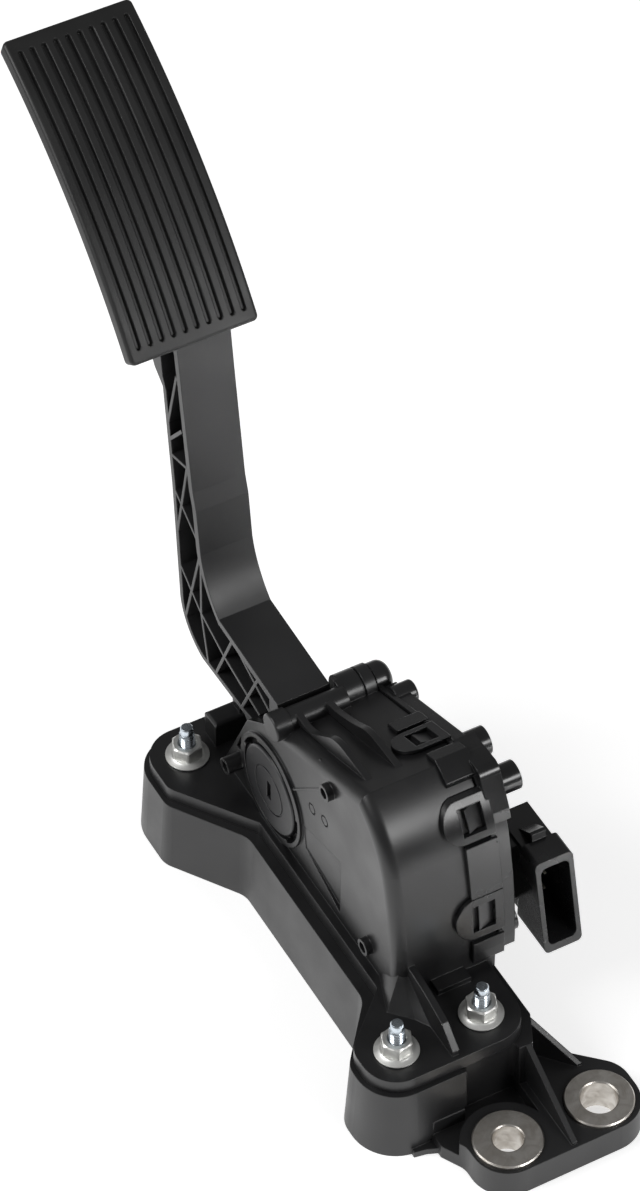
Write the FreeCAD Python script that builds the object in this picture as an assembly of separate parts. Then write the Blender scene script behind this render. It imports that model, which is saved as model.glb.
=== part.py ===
import FreeCAD, Part
import math
import os

# Accelerator pedal module with its position sensor, on a moulded adapter base.
# Origin: centre of the locating bush on the mounting plane.
# X runs along the pivot towards the sensor cover, Y from the bushes to the pad, Z up.

# Fits
seat_gap = 0.05
running_gap = 0.10
free_gap = 0.4
seam_gap = 0.6

# Steel bushes in the ears of the base
bush_dia = 26.5
bush_height = 14.0
locating_bore = 11.5
clearance_bore = 14.0
bush_pitch = 38.6

# Adapter base
base_height = 32.5
base_draft = 2.0
base_wall = 3.2
base_deck = 4.5
base_margin = 2.3
base_rib = 2.4
rib_pitch = 26.0
ear_height = 12.5
ear_rim = 1.4
ear_rib = 2.2
ear_boss = 17.7
ear_floor = 6.0
ear_flare = 5.0

# Studs, nuts and limiters
stud_dia = 6.0
stud_head_dia = 11.5
stud_head = 3.0
stud_above_nut = 8.7
stud_point_dia = 5.0
stud_point_length = 3.4
stud_boss = 8.5
nut_height = 7.4
nut_across_flats = 11.0
nut_flange_dia = 17.0
nut_turn_deg = 8.0
limiter_dia = 10.0
left_stud_x = -25.4
right_stud_x = 10.0
front_stud_y = 38.0
rear_stud_reach = 47.4

# Flange of the pedal housing
flange_height = 6.0
flange_lobe = 14.3

# Pivot and pedal travel
pivot_y = 153.6
pivot_rise = 21.7
travel_deg = 15.0

# Pedal housing
housing_left = -13.8
housing_wall = 3.0
housing_right = 28.0
bulkhead = 3.0
wall_edge_round = 5.0
front_reach = 94.8
front_upright = 9.0
brow_reach = 66.2
brow_rise = 62.4
roof_fall_deg = 22.0
bar_boss_dia = 11.6
bar_boss_proud = 2.7
bar_dia = 10.0
bar_reach = 3.4
bar_rise = 38.8
cheek_radius = 25.0
barrel_dia = 15.0
barrel_rise = 36.1
barrel_band = 4.6
fin_width = 2.6
post_dia = 7.0
post_bore = 4.4
wall_post_length = 2.8
rear_post_length = 7.2
stop_length = 9.0
stop_rise = 11.7

# Sensor cover, its snap tongues and its connector
cover_depth = 7.6
cover_wall = 3.0
band_width = 8.4
tongue_thickness = 1.7
tongue_length = 17.5
window_length = 9.5
strip_length = 10.5
catch_height = 1.9
catch_length = 6.2
stub_dia = 11.4
stub_length = 11.4
roof_stub_dia = 9.4
socket_width = 16.0
socket_height = 40.2
socket_wall = 2.0
socket_depth = 21.0
socket_stand_off = 7.0
socket_rake_deg = 13.8
collar_length = 10.5
collar_step = 1.5
pin_size = 0.8

# Pedal arm
arm_left = -9.5
arm_width = 22.0
arm_web = 2.4
front_plate = 3.0
rear_plate = 2.4
truss_rib = 1.4
drum_radius = 22.0
drum_side_gap = 0.5
axle_dia = 14.0
axle_head_dia = 37.4
axle_head_proud = 1.7
magnet_dia = 9.0
magnet_length = 3.0
magnet_air_gap = 2.0

# Pad
pad_width = 52.1
pad_offset = -4.6
pad_thickness = 6.0
pad_sagitta = 7.6
pad_edge = 1.2
groove_count = 10
groove_pitch = 4.9
groove_width = 1.9
groove_depth = 1.5
groove_end = 9.5

# Springs and friction shoe
outer_coil_dia = 19.4
outer_wire = 2.4
outer_turns = 6
inner_coil_dia = 10.7
inner_wire = 1.5
inner_turns = 8
spring_reach = 53.6
spring_length = 38.6
spring_seat_height = 2.2
shoe_width = 16.0
shoe_depth = 6.5
shoe_plate = 4.0

# Circuit board
board_thickness = 1.6
board_set_back = 18.0
board_height = 46.0
chip_size = 5.0
chip_thickness = 1.5

# Heights and faces worked out from the sizes above
flange_top = base_height + flange_height
pivot_z = flange_top + pivot_rise
nut_top = flange_top + nut_height
stud_top = nut_top + stud_above_nut
rear_stud_y = pivot_y + rear_stud_reach
stud_places = [(left_stud_x, front_stud_y), (right_stud_x, front_stud_y), (left_stud_x, rear_stud_y)]
chamber_left = housing_left + housing_wall
chamber_right = arm_left + arm_width + 2.5
bulkhead_right = chamber_right + bulkhead
cover_left = housing_right + seam_gap
cover_right = cover_left + cover_depth
arm_right = arm_left + arm_width
arm_middle = arm_left + arm_width / 2
roof_slope = math.tan(math.radians(roof_fall_deg))


def vec(x, y, z):
    return FreeCAD.Vector(x, y, z)


def from_pivot(y, z):
    return (pivot_y + y, pivot_z + z)


def box(x0, x1, y0, y1, z0, z1):
    return Part.makeBox(x1 - x0, y1 - y0, z1 - z0, vec(x0, y0, z0))


def rod_x(x0, x1, y, z, radius):
    return Part.makeCylinder(radius, x1 - x0, vec(x0, y, z), vec(1, 0, 0))


def rod_z(x, y, z0, z1, radius):
    return Part.makeCylinder(radius, z1 - z0, vec(x, y, z0))


def yz_wire(start, steps, x=0.0):
    """Closed wire in a plane of constant X. A step of two numbers is a line to (y, z),
    one of four is an arc through the first point to the second."""
    edges = []
    here = vec(x, *start)
    for step in steps:
        there = vec(x, *step[-2:])
        if len(step) == 4:
            edges.append(Part.Arc(here, vec(x, *step[:2]), there).toShape())
        else:
            edges.append(Part.LineSegment(here, there).toShape())
        here = there
    first = vec(x, *start)
    if here.distanceToPoint(first) > 1e-6:
        edges.append(Part.LineSegment(here, first).toShape())
    return Part.Wire(edges)


def slab(wire, x0, x1):
    """Closed YZ wire extruded between two X faces."""
    face = Part.Face(wire)
    face.translate(vec(x0, 0, 0))
    return face.extrude(vec(x1 - x0, 0, 0))


def plate_x(points, x0, x1):
    """Flat piece from straight-sided (y, z) corners."""
    return slab(yz_wire(points[0], points[1:]), x0, x1)


def grown(corners, margin):
    """Corners (x, y, radius), counter-clockwise, moved outwards by a margin."""
    moved = []
    count = len(corners)
    for i in range(count):
        ax, ay, _ = corners[i - 1]
        bx, by, radius = corners[i]
        cx, cy, _ = corners[(i + 1) % count]
        d1 = vec(bx - ax, by - ay, 0).normalize()
        d2 = vec(cx - bx, cy - by, 0).normalize()
        turn = d1.x * d2.y - d1.y * d2.x
        share = margin / (1 + d1.dot(d2))
        px = bx + share * (d1.y + d2.y)
        py = by - share * (d1.x + d2.x)
        change = margin if turn > 0 else -margin
        moved.append((px, py, max(0.4, radius + change)))
    return moved


def rounded_wire(corners, z):
    """Closed wire at a height, with an arc of the given radius in each corner."""
    arcs = []
    count = len(corners)
    for i in range(count):
        corner = vec(corners[i][0], corners[i][1], z)
        before = vec(corners[i - 1][0], corners[i - 1][1], z)
        after = vec(corners[(i + 1) % count][0], corners[(i + 1) % count][1], z)
        u = (before - corner).normalize()
        v = (after - corner).normalize()
        half = math.acos(max(-1.0, min(1.0, u.dot(v)))) / 2
        radius = corners[i][2]
        run = radius / math.tan(half)
        bisector = (u + v).normalize()
        middle = corner + bisector * (radius / math.sin(half) - radius)
        arcs.append((corner + u * run, middle, corner + v * run))
    edges = []
    for i in range(count):
        entry, middle, leave = arcs[i]
        edges.append(Part.Arc(entry, middle, leave).toShape())
        following = arcs[(i + 1) % count][0]
        edges.append(Part.LineSegment(leave, following).toShape())
    return Part.Wire(edges)


def drafted(corners, z0, z1, margin0, margin1):
    """Solid between two heights whose walls lean from one margin to the other."""
    low = rounded_wire(grown(corners, margin0), z0)
    high = rounded_wire(grown(corners, margin1), z1)
    return Part.makeLoft([low, high], True, True)


def joined(shapes):
    return shapes[0].fuse(shapes[1:])


def without(body, tools):
    """Body less a set of tools that may cross each other."""
    return body.cut(joined(tools))


def save(name, shape):
    shape.exportStep(os.path.join("parts", name + ".step"))


os.makedirs("parts", exist_ok=True)


# Plan of the flange: three stud lobes joined by a waist beside the housing wall
lobe_left = left_stud_x - flange_lobe
lobe_front = front_stud_y - flange_lobe
lobe_rear = rear_stud_y + flange_lobe
flange_right = right_stud_x + flange_lobe
flange_waist = housing_left - 3.6
waist_rear = pivot_y + 4.0
waist_front = pivot_y - 87.0
rear_right = flange_right - 5.0
flange_plan = [
    (lobe_left, lobe_front, flange_lobe - 0.5),
    (flange_right, lobe_front, flange_lobe - 0.8),
    (flange_right, pivot_y + 20.0, 10.0),
    (rear_right, lobe_rear, 12.0),
    (lobe_left, lobe_rear, flange_lobe - 0.5),
    (lobe_left, rear_stud_y - 11.5, 7.0),
    (flange_waist, waist_rear, 3.0),
    (flange_waist, waist_front, 3.0),
    (lobe_left, front_stud_y + 8.0, 10.0),
]

# Plan of the base deck: the flange plan with a margin, a wider waist and a cut-back right corner
base_left = lobe_left - base_margin
base_front = lobe_front - base_margin
base_right = flange_right + 4.0
base_waist = flange_waist - 4.8
nose_right = bush_pitch / 2 + 3.2
base_plan = [
    (base_left, base_front, flange_lobe + base_margin - 0.5),
    (nose_right, base_front, 2.5),
    (base_right, base_front + 12.0, 3.0),
    (base_right, pivot_y + 22.0, 12.0),
    (rear_right + 4.0, lobe_rear + base_margin, 14.0),
    (base_left, lobe_rear + base_margin, flange_lobe + base_margin - 0.5),
    (base_left, rear_stud_y - 14.0, 8.0),
    (base_waist, waist_rear, 12.0),
    (base_waist, waist_front + 2.0, 10.0),
    (base_left, front_stud_y + 6.0, 10.0),
]

# Adapter base: drafted block with two ears, cored out below between ribs
bush_places = [(0.0, 0.0), (bush_pitch, 0.0)]
ear_reach = bush_dia / 2 + ear_rim
ear_plan = [
    (-ear_reach, -ear_reach, ear_reach - 0.6),
    (bush_pitch + ear_reach + 1.0, -ear_reach, ear_reach - 0.2),
    (bush_pitch + ear_reach + 1.0, ear_reach - 4.0, ear_reach - 2.0),
    (base_right, base_front + 14.0, 3.0),
    (-ear_reach - ear_flare, base_front + 14.0, 1.0),
    (-ear_reach - ear_flare, base_front - 8.0, 0.6),
    (-ear_reach, base_front - 17.0, 9.0),
]
base = drafted(base_plan, 0.0, base_height, base_draft, 0.0)
notch_left = right_stud_x - 15.5
notch_right = bush_pitch / 2 - 2.6
front_step = box(notch_left, notch_right, base_front - 6.0, base_front + 3.8, ear_height, base_height + 1.0)
front_step = front_step.makeFillet(2.5, [e for e in front_step.Edges if abs(e.CenterOfMass.z - (
    ear_height + base_height + 1.0) / 2) < 0.1 and e.CenterOfMass.y > base_front])
base = base.cut(front_step)
ears = drafted(ear_plan, 0.0, ear_height, 0.6, 0.0)
foot_height = 3.0
foot_plan = [(left_stud_x - 3.5, base_front + 2.0), (left_stud_x - 3.5, base_front - 3.6),
             (left_stud_x + 1.3, base_front - 4.5), (-ear_reach + 1.5, base_front - 9.0),
             (-ear_reach + 1.5, base_front + 2.0)]
foot = Part.Face(Part.makePolygon([vec(x, y, 0.0) for x, y in foot_plan + foot_plan[:1]]))
foot = foot.extrude(vec(0, 0, foot_height))

rib_x = bush_pitch / 2 - ear_rib / 2 + 1.2
rib_foot = -ear_reach + 1.5
ear_web = plate_x([(base_front + 3.0, 1.0), (base_front + 3.0, base_height), (base_front, base_height),
                   (rib_foot, ear_height + 1.0), (rib_foot, 1.0)], rib_x, rib_x + ear_rib)
gusset_run = vec(bush_pitch + 4.0 - base_right, 17.0 - base_front - 12.0, 0)
gusset_low = vec(base_right - 1.0, base_front + 12.0, 1.0)
gusset = Part.Face(Part.makePolygon([
    gusset_low,
    gusset_low + vec(0, 0, base_height - 1.0),
    gusset_low + gusset_run + vec(0, 0, ear_height),
    gusset_low + gusset_run,
    gusset_low])).extrude(vec(-ear_rib, 0, 0))
base = base.fuse([ears, foot, ear_web, gusset])
hollow = [box(-ear_reach - 2 * ear_flare, notch_left, 0.0, base_front - 1.6, ear_floor, ear_height + 1.0),
          box(notch_left - 1.0, notch_right, 0.0, base_front + 3.8, ear_floor, ear_height + 1.0)]
base = base.cut(joined(hollow).cut(rod_z(0.0, 0.0, 0.0, base_height, ear_boss)))

core = Part.Face(rounded_wire(grown(base_plan, -base_wall), -1.0))
core = core.extrude(vec(0, 0, base_height - base_deck + 1.0))
lattice = []
rib_count_y = int((lobe_rear - base_front) / rib_pitch) + 1
for i in range(rib_count_y):
    rib_y = base_front + 14.0 + i * rib_pitch
    lattice.append(box(base_left - 5.0, base_right + 5.0, rib_y, rib_y + base_rib, -2.0, base_height))
for rib_at in (left_stud_x, (left_stud_x + right_stud_x) / 2, right_stud_x):
    lattice.append(box(rib_at - base_rib / 2, rib_at + base_rib / 2, base_front - 5.0, lobe_rear + 8.0,
                       -2.0, base_height))
for x, y in stud_places:
    lattice.append(rod_z(x, y, -2.0, base_height, stud_boss))
lattice.append(box(-ear_reach - 2.0, base_right + 5.0, base_front - 8.0, base_front + 9.0, -2.0, base_height))
base = base.cut(without(core, lattice))

stud_shoulder = base_height - 8.0
for x, y in bush_places:
    base = base.cut(rod_z(x, y, -1.0, bush_height + 30.0, bush_dia / 2 + seat_gap))
for x, y in stud_places:
    base = base.cut(rod_z(x, y, -1.0, base_height + 1.0, stud_dia / 2 + seat_gap))
    base = base.cut(rod_z(x, y, -1.0, stud_shoulder, stud_head_dia / 2 + seat_gap))
save("adapter_base", base.removeSplitter())


# Turned steel bushes with a small chamfer on the bore and rim
def bush(x, y, bore):
    edge = 0.5
    outer = bush_dia / 2
    inner = bore / 2
    rim = [(inner, 0.0), (inner, bush_height - edge), (inner + edge, bush_height),
           (outer - edge, bush_height), (outer, bush_height - edge), (outer, 0.0), (inner, 0.0)]
    section = Part.Face(Part.makePolygon([vec(x + r, y, z) for r, z in rim]))
    return section.revolve(vec(x, y, 0), vec(0, 0, 1), 360)


save("locating_bush", bush(0.0, 0.0, locating_bore))
save("clearance_bush", bush(bush_pitch, 0.0, clearance_bore))


# Studs pressed up from below, each with a plain head and a dog point
def stud(x, y):
    shank = stud_dia / 2
    dog = stud_point_dia / 2
    lip = 0.5
    point_foot = stud_top - stud_point_length
    side = [(0.0, stud_shoulder - stud_head), (stud_head_dia / 2, stud_shoulder - stud_head),
            (stud_head_dia / 2, stud_shoulder), (shank, stud_shoulder), (shank, point_foot - lip),
            (dog, point_foot), (dog, stud_top - lip), (dog - lip, stud_top),
            (0.0, stud_top), (0.0, stud_shoulder - stud_head)]
    section = Part.Face(Part.makePolygon([vec(x + r, y, z) for r, z in side]))
    return section.revolve(vec(x, y, 0), vec(0, 0, 1), 360)


# Hexagon nut with a bell-shaped flange
def flange_nut(x, y):
    corner = nut_across_flats / math.sqrt(3)
    turns = [math.radians(60 * i + nut_turn_deg) for i in range(7)]
    ring = [vec(x + corner * math.cos(turn), y + corner * math.sin(turn), flange_top) for turn in turns]
    hexagon = Part.Face(Part.makePolygon(ring)).extrude(vec(0, 0, nut_height))
    top_edge = Part.makeCone(corner + nut_height, corner - 0.6, nut_height + 0.6, vec(x, y, flange_top))
    rim = nut_flange_dia / 2
    lip = 0.8
    bell_height = 1.0
    bell = Part.makeCone(rim - 0.2, corner, bell_height, vec(x, y, flange_top + lip))
    body = hexagon.common(top_edge).fuse([bell, rod_z(x, y, flange_top, flange_top + lip, rim)])
    return body.cut(rod_z(x, y, flange_top - 1.0, nut_top + 1.0, stud_dia / 2 + seat_gap)).removeSplitter()


def limiter(x, y):
    sleeve = rod_z(x, y, base_height, flange_top, limiter_dia / 2)
    return sleeve.cut(rod_z(x, y, base_height - 1.0, flange_top + 1.0, stud_dia / 2 + 0.25))


save("mounting_studs", Part.makeCompound([stud(x, y) for x, y in stud_places]))
save("flange_nuts", Part.makeCompound([flange_nut(x, y) for x, y in stud_places]))
save("flange_limiters", Part.makeCompound([limiter(x, y) for x, y in stud_places]))


# Side profile of the housing: a bowed front, a roof that falls to the rear, a round cheek at the pivot
front_y = pivot_y - front_reach
brow_y = pivot_y - brow_reach
brow_z = pivot_z + brow_rise
bar_y = pivot_y - bar_reach
bar_z = pivot_z + bar_rise
barrel_y = pivot_y + bar_reach / 2
barrel_z = pivot_z + barrel_rise


def roof_height(y):
    return brow_z - (y - brow_y) * roof_slope


def side_profile(inset, rear, floor):
    """Front and roof of the housing at an inset, closed behind at a Y and below at a Z."""
    front = front_y + inset
    lean = math.radians(roof_fall_deg)
    drop = inset / math.cos(lean)
    bend = (front + 7.2, pivot_z + 36.8 - inset * 0.3)
    brow = (brow_y - inset * math.sin(lean), brow_z - inset * math.cos(lean))
    shoulder = (front + 15.2, pivot_z + 51.8 - inset * 0.72)
    return yz_wire((front, floor), [
        (front, flange_top + front_upright),
        (front + 1.8, pivot_z + 9.8, *bend),
        (*shoulder, *brow),
        (rear, roof_height(rear) - drop),
        (rear, floor)])


roof_rear = bar_y - 1.0
body = slab(side_profile(0.0, roof_rear, base_height), housing_left, housing_right)
outer_edge = [e for e in body.Edges if abs(e.CenterOfMass.x - housing_left) < 0.01
              and e.CenterOfMass.z > flange_top and e.CenterOfMass.y < roof_rear - 1.0]
body = body.makeFillet(wall_edge_round, outer_edge)

# Round cheeks that carry the axle, with a foot that runs down to the flange behind them
cheek_foot = from_pivot(39.5, flange_top - pivot_z - 1.0)
cheek_tail = [(bar_y - 1.0, bar_z), from_pivot(cheek_radius * 0.78, cheek_radius * 0.784), cheek_foot,
              (bar_y - 1.0, flange_top - 1.0)]
cheeks = []
for x0, x1 in ((housing_left, chamber_left), (chamber_right, housing_right)):
    cheeks.append(rod_x(x0, x1, pivot_y, pivot_z, cheek_radius))
    cheeks.append(plate_x(cheek_tail, x0, x1))
cross_bar = rod_x(housing_left, chamber_right, bar_y, bar_z, bar_dia / 2)
bar_boss = rod_x(housing_left - bar_boss_proud, arm_left, bar_y, bar_z, bar_boss_dia / 2)
boss_end = [e for e in bar_boss.Edges if abs(e.CenterOfMass.x - housing_left + bar_boss_proud) < 0.01]
bar_boss = bar_boss.makeFillet(0.8, boss_end)
barrel = rod_x(arm_right + 0.9, housing_right, barrel_y, barrel_z, barrel_dia / 2)
band_right = housing_right - barrel_band
band_groove = rod_x(band_right - 0.8, band_right, barrel_y, barrel_z, barrel_dia)
groove_root = rod_x(arm_right, housing_right, barrel_y, barrel_z, barrel_dia / 2 - 0.9)
barrel = barrel.cut(band_groove.cut(groove_root))
bearing_ring = rod_x(housing_left - 1.2, housing_left + 1.0, pivot_y, pivot_z, axle_head_dia / 2 + 4.6)
flange = drafted(flange_plan, base_height, flange_top, 0.3, 0.0)
housing = body.fuse(cheeks + [cross_bar, bar_boss, barrel, bearing_ring, flange])

# Pedal chamber, open below and behind, and the sensor chamber on the other side of the bulkhead
pedal_room = slab(side_profile(housing_wall, roof_rear - 5.0, base_height - 1.0), chamber_left, chamber_right)
drum_room = box(chamber_left, chamber_right, roof_rear - 8.0, pivot_y + cheek_radius + 20.0,
                flange_top, bar_z - bar_boss_dia / 2 - 1.2)
drum_well = box(chamber_left, chamber_right, roof_rear - 8.0, pivot_y + cheek_radius,
                base_height - 1.0, flange_top + 1.0)
throat_front = bar_y + bar_boss_dia / 2 + 0.1
throat = box(chamber_left, chamber_right, throat_front, pivot_y + 60.0, bar_z - 12.0, bar_z + 30.0)
cover_floor = flange_top + 4.0
sensor_room = slab(side_profile(housing_wall, roof_rear - 4.0, cover_floor + housing_wall),
                   bulkhead_right, housing_right + 1.0)
sensor_cheek = rod_x(bulkhead_right, housing_right + 1.0, pivot_y, pivot_z, cheek_radius - housing_wall)
sensor_cheek = sensor_cheek.common(box(bulkhead_right, housing_right + 1.0, bar_y - 60.0, pivot_y + 60.0,
                                       cover_floor + housing_wall, bar_z))
housing = without(housing, [pedal_room, drum_room, drum_well, throat])
housing = without(housing, [sensor_room, sensor_cheek])

# Idle fins on the roof, which brace the cross bar, and the rib that bears on the friction shoe
fins = []
bar_crown = (bar_y - 2.0, bar_z + bar_dia / 2 - 0.4)


def on_fin(reach, rise):
    """Point on a roof fin, given ahead of the cross bar and above the roof."""
    return (bar_y - reach, roof_height(bar_y - reach) + rise)


fin_foot = (bar_y - 2.0, bar_z)
low_fin = yz_wire(on_fin(55.0, -1.0), [
    on_fin(55.0, 0.0),
    on_fin(39.0, 6.4),
    (*on_fin(33.0, 8.0), *on_fin(26.0, 6.8)),
    on_fin(18.0, 3.4),
    (*on_fin(13.5, 2.3), *on_fin(8.5, 2.8)),
    bar_crown,
    fin_foot])
high_fin = yz_wire(on_fin(55.0, -1.0), [
    on_fin(55.0, 0.0),
    on_fin(38.0, 6.0),
    (*on_fin(33.0, 7.0), *on_fin(27.0, 6.4)),
    (*on_fin(18.0, 5.0), *on_fin(9.0, 4.6)),
    bar_crown,
    fin_foot])
for fin_x, wire in ((arm_left + 4.0, low_fin), (arm_right - 5.5, high_fin)):
    fins.append(slab(wire, fin_x - fin_width / 2, fin_x + fin_width / 2))
fulcrum_y = pivot_y - 34.0
fulcrum_z = pivot_z + 44.5
fins.append(plate_x([(fulcrum_y - 1.5, fulcrum_z), (fulcrum_y + 1.5, fulcrum_z),
                     (fulcrum_y + 1.5, roof_height(fulcrum_y) - 1.0),
                     (fulcrum_y - 1.5, roof_height(fulcrum_y) - 1.0)],
                    chamber_left - 1.0, chamber_right + 1.0))

# Curved gusset, sloping web and low step between the stud lobes and the front wall
middle_x = (left_stud_x + right_stud_x) / 2
gusset_half = 1.4
curve = [(front_y + 5.0, flange_top + 15.4),
         (front_y - 13.5, flange_top + 13.2, front_y - 24.8, flange_top + 10.0),
         (lobe_front + 2.0, flange_top + 2.6),
         (lobe_front + 2.0, flange_top - 1.0),
         (front_y + 5.0, flange_top - 1.0)]
fins.append(slab(yz_wire(curve[0], curve[1:]), middle_x - gusset_half, middle_x + gusset_half))
wall_middle = housing_left + housing_wall / 2
scoop_foot = [(wall_middle, front_y + 17.0), (left_stud_x + 5.2, front_y - 4.0),
              (left_stud_x + 12.8, front_y - 12.2), (middle_x, front_y - 20.8), (middle_x, front_y + 1.7),
              (wall_middle + 0.7, front_y + 2.0)]
scoop_head = [(wall_middle, front_y + 12.0), (wall_middle, front_y + 1.5), (wall_middle + 1.3, front_y + 1.4),
              (middle_x, front_y + 1.4), (middle_x, front_y + 1.9), (wall_middle + 0.7, front_y + 2.2)]
scoop_wires = [Part.makePolygon([vec(x, y, z) for x, y in points + points[:1]])
               for points, z in ((scoop_foot, flange_top - 0.5), (scoop_head, flange_top + 11.1))]
fins.append(Part.makeLoft(scoop_wires, True, True))
fins.append(box(right_stud_x - 9.5, right_stud_x + 4.5, front_y - 5.8, front_y + 1.0,
                flange_top - 1.0, flange_top + 2.4))

# Hollow posts on the left wall
post_places = [from_pivot(-44.3, 43.6), from_pivot(-74.0, -12.6), from_pivot(25.2, -8.6)]
post_lengths = [wall_post_length, wall_post_length, rear_post_length]
posts = [rod_x(housing_left - length, housing_left + 1.0, y, z, post_dia / 2)
         for (y, z), length in zip(post_places, post_lengths)]
spoke = [from_pivot(-16.0, 15.4), from_pivot(-15.4, 16.0), from_pivot(-42.0, 43.0), from_pivot(-42.6, 42.4)]
posts.append(plate_x(spoke, housing_left - 0.6, housing_left + 1.0))

# Pedal stop behind the arm: its top lies along the underside of the arm at full travel
travel = math.radians(travel_deg)
arm_under_rear = (63.8, 8.9)
arm_under_front = (30.0, 10.2)


def pressed(y, z):
    """Point given from the pivot, turned to full travel."""
    across = y * math.cos(travel) + z * math.sin(travel)
    up = z * math.cos(travel) - y * math.sin(travel)
    return from_pivot(across, up)


stop_front = rear_stud_y - 1.5
stop_rear = stop_front + stop_length
stop = box(housing_left, arm_right, stop_front, stop_rear, flange_top - 1.0, flange_top + stop_rise)
stop = stop.makeFillet(1.5, [e for e in stop.Edges if e.CenterOfMass.z > flange_top + stop_rise - 0.01
                             and e.CenterOfMass.x < arm_right - 1.0])
under_front = pressed(*arm_under_front)
under_rear = pressed(*arm_under_rear)
under_slope = (under_rear[1] - under_front[1]) / (under_rear[0] - under_front[0])
pad_line = [(y, under_front[1] + (y - under_front[0]) * under_slope - free_gap - 0.3)
            for y in (stop_front + 1.6, stop_rear - 1.6)]
stop_pad = plate_x([(pad_line[0][0], flange_top), *pad_line, (pad_line[1][0], flange_top)],
                   arm_left + 7.0, arm_right - 4.0)
housing = housing.fuse(fins + posts + [stop, stop_pad])

# Openings: post bores, axle bearings, stud holes, and shallow marks moulded in the left wall
bore_start = housing_left - rear_post_length - 1.0
for y, z in post_places:
    housing = housing.cut(rod_x(bore_start, housing_left + 1.2, y, z, post_bore / 2))
bearing = axle_head_dia / 2 + running_gap
housing = without(housing, [
    rod_x(housing_left - 2.0, chamber_left + 1.0, pivot_y, pivot_z, bearing),
    rod_x(housing_left - 2.0, housing_left + 0.6, pivot_y, pivot_z, bearing + 1.4)])
shaft_bearing = axle_dia / 2 + running_gap
housing = housing.cut(rod_x(chamber_right - 1.0, bulkhead_right + 1.0, pivot_y, pivot_z, shaft_bearing))
relief_depth = 2.0
relief = rod_x(housing_left - 2.0, housing_left + relief_depth, pivot_y, pivot_z, bearing + 2.6)
for turn_from, turn_to in ((172.0, 232.0), (20.0, 62.0)):
    sector = [(pivot_y, pivot_z)]
    for turn in (turn_from, (turn_from + turn_to) / 2, turn_to):
        reach = 2 * axle_head_dia
        sector.append(from_pivot(reach * math.cos(math.radians(turn)), reach * math.sin(math.radians(turn))))
    housing = housing.cut(relief.common(plate_x(sector, housing_left - 2.0, housing_left + relief_depth)))
for x, y in stud_places:
    housing = housing.cut(rod_z(x, y, base_height - 1.0, flange_top + 1.0, limiter_dia / 2 + seat_gap))
mark_depth = 0.5
panel_depth = 1.7
panel = [from_pivot(-24.0, 3.9), from_pivot(-52.6, 11.7), from_pivot(-52.0, -17.6), from_pivot(-25.8, -7.5)]
panel_front = pivot_y - 52.8
panel_rear = pivot_y - 23.0
panel_floor = [(housing_left - 1.0, panel_front), (housing_left + panel_depth, panel_front),
               (housing_left + 0.2, panel_rear), (housing_left - 1.0, panel_rear)]
ramp = Part.Face(Part.makePolygon([vec(x, y, flange_top) for x, y in panel_floor + panel_floor[:1]]))
ramp = ramp.extrude(vec(0, 0, brow_rise))
housing = housing.cut(ramp.common(plate_x(panel, housing_left - 1.0, chamber_left)))
window = [from_pivot(25.0, 5.0), from_pivot(25.4, -3.9), from_pivot(28.6, -3.9)]
housing = housing.cut(plate_x(window, housing_left - 1.0, chamber_left + 1.0))
for y, z in (from_pivot(-30.6, 19.7), from_pivot(-40.2, 22.6)):
    ring = rod_x(housing_left - 1.0, housing_left + mark_depth, y, z, 2.5)
    housing = housing.cut(ring.cut(rod_x(housing_left - 1.0, housing_left + mark_depth, y, z, 1.9)))

# Wedge catches under the windows of the snap tongues
tongue_left = housing_right - tongue_length
window_left = tongue_left + 7.0
roof_clip = (brow_y + 11.6, brow_y + 25.6)
upper_clip = (pivot_z + 41.0, pivot_z + 55.5)
lower_clip = (pivot_z - 4.2, pivot_z + 15.2)
skin = slab(side_profile(0.0, roof_rear - 14.0, cover_floor), tongue_left - 5.0, housing_right)
catch_left = window_left + 2.6
catch_right = catch_left + catch_length
crest = side_profile(-catch_height, roof_rear - 14.0, cover_floor)
crest.translate(vec(catch_left, 0, 0))
ramp_foot = side_profile(-0.2, roof_rear - 14.0, cover_floor)
ramp_foot.translate(vec(catch_right, 0, 0))
catch_rim = Part.makeLoft([crest, ramp_foot], True, True).cut(skin)


def clip_frame(span, x0, x1, inset, on_roof):
    """Block that cuts one clip out of the rim: along Z through the roof, along Y through the front."""
    low = span[0] + inset
    high = span[1] - inset
    if on_roof:
        return box(x0, x1, low, high, brow_z - 20.0, brow_z + 20.0)
    return box(x0, x1, front_y - 20.0, brow_y, low, high)


catches = []
for span, on_roof in ((roof_clip, True), (upper_clip, False), (lower_clip, False)):
    catches.append(catch_rim.common(clip_frame(span, catch_left, catch_right, 3.4, on_roof)))
housing = housing.fuse(catches)

# Seal groove in the rim
groove_floor = housing_right - 1.2
groove_outer = slab(side_profile(0.8, roof_rear - 2.0, cover_floor + 0.8), groove_floor, housing_right + 1.0)
groove_inner = slab(side_profile(2.2, roof_rear - 3.4, cover_floor + 2.2),
                    groove_floor - 1.0, housing_right + 2.0)
housing = housing.cut(groove_outer.cut(groove_inner)).removeSplitter()
save("pedal_housing", housing)

seal_outer = slab(side_profile(0.8 + seat_gap, roof_rear - 2.0 - seat_gap, cover_floor + 0.8 + seat_gap),
                  groove_floor, cover_left)
seal_inner = slab(side_profile(2.2 - seat_gap, roof_rear - 3.4 + seat_gap, cover_floor + 2.2 - seat_gap),
                  groove_floor - 1.0, cover_left + 1.0)
save("cover_seal", seal_outer.cut(seal_inner))


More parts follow.
